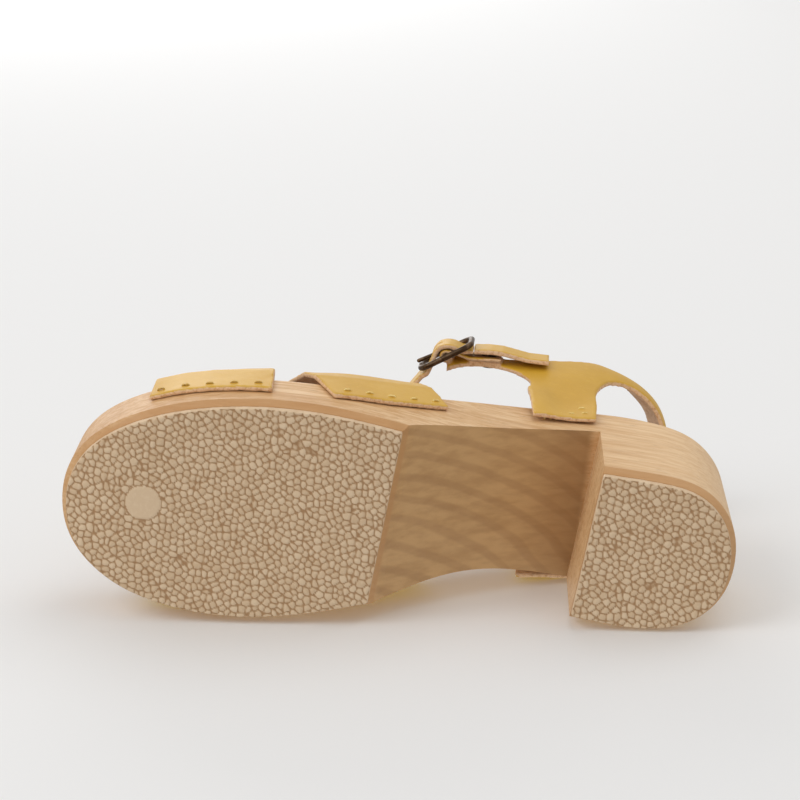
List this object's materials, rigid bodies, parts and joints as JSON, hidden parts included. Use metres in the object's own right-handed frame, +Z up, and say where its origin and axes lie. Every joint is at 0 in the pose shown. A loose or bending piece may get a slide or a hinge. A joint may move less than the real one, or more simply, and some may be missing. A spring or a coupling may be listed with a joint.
{
  "type": "wooden clog sandal",
  "caption": "Left open-toe clog sandal: carved wooden platform and block heel, crossed leather front straps, and a buckled ankle strap.",
  "frame": {"origin": "on the ground, at the middle of the sole's plan", "axes": "+Z up with the clog standing on its treads, toe to -Y, outer side of the left foot to +X"},
  "size_m": [0.095, 0.2546, 0.1405],
  "materials": {
    "wood": "sanded and waxed",
    "tread": "pebbled",
    "sock_leather": "natural",
    "upper_leather": "semi-gloss",
    "buckle_metal": "dark antique",
    "staple_wire": "lacquered",
    "thread": "twisted"
  },
  "bodies": {
    "clog": {"wooden_sole": "wood", "forefoot_tread": "tread", "heel_tread": "tread", "heel_sock": "sock_leather", "front_strap_threaded": "upper_leather", "front_strap_slit": "upper_leather", "lateral_quarter": "upper_leather", "ankle_strap": "upper_leather", "rivet_cap": "buckle_metal", "rivet_stud": "buckle_metal", "staples_threaded_outer": "staple_wire", "staples_threaded_inner": "staple_wire", "staples_slit_outer": "staple_wire", "staples_slit_inner": "staple_wire", "staples_quarter_outer": "staple_wire", "staples_quarter_inner": "staple_wire", "seam_stitches": "thread"},
    "buckle_frame": {"buckle_frame": "buckle_metal"},
    "buckle_prong": {"buckle_prong": "buckle_metal"},
    "strap_tip": {"strap_tip": "upper_leather"}
  },
  "joints": [
    {"name": "frame_swing", "type": "hinge", "parent": "clog", "child": "buckle_frame", "pos_m": [0.03886, 0.01243, 0.10828], "axis": [0.1234, -0.0336, -0.9918], "range_deg": [0, 2]},
    {"name": "prong_swing", "type": "hinge", "parent": "clog", "child": "buckle_prong", "pos_m": [0.03886, 0.01243, 0.10828], "axis": [-0.1234, 0.0336, 0.9918], "range_deg": [0, 20]},
    {"name": "tip_lift", "type": "hinge", "parent": "clog", "child": "strap_tip", "pos_m": [0.04296, 0.0232, 0.10843], "axis": [0.1234, -0.0336, -0.9918], "range_deg": [0, 25], "stiffness_Nm_per_rad": 0.01}
  ]
}
